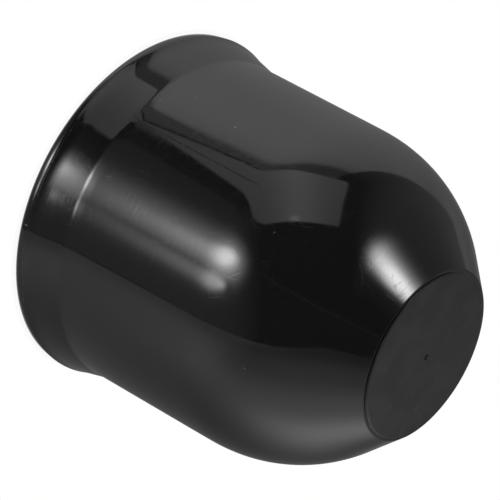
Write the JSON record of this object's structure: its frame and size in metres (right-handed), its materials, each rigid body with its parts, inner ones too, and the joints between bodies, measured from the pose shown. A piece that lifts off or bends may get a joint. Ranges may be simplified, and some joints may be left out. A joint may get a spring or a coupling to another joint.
{
  "type": "tow ball cover",
  "caption": "Domed black plastic cap with a flared rim and a raised flat end disc, pushed over a tow ball to keep its grease off clothes and the weather off the ball.",
  "frame": {"origin": "centre of the mouth, on the plane that the rim stands on", "axes": "+Z along the cap's axis, from the open mouth to the closed end disc; X and Y are any two directions across it"},
  "size_m": [0.06, 0.06, 0.0585],
  "materials": {
    "black_plastic": "polished black moulding with a fine matt end disc"
  },
  "bodies": {
    "root": {"ball_cover": "black_plastic"}
  },
  "joints": []
}
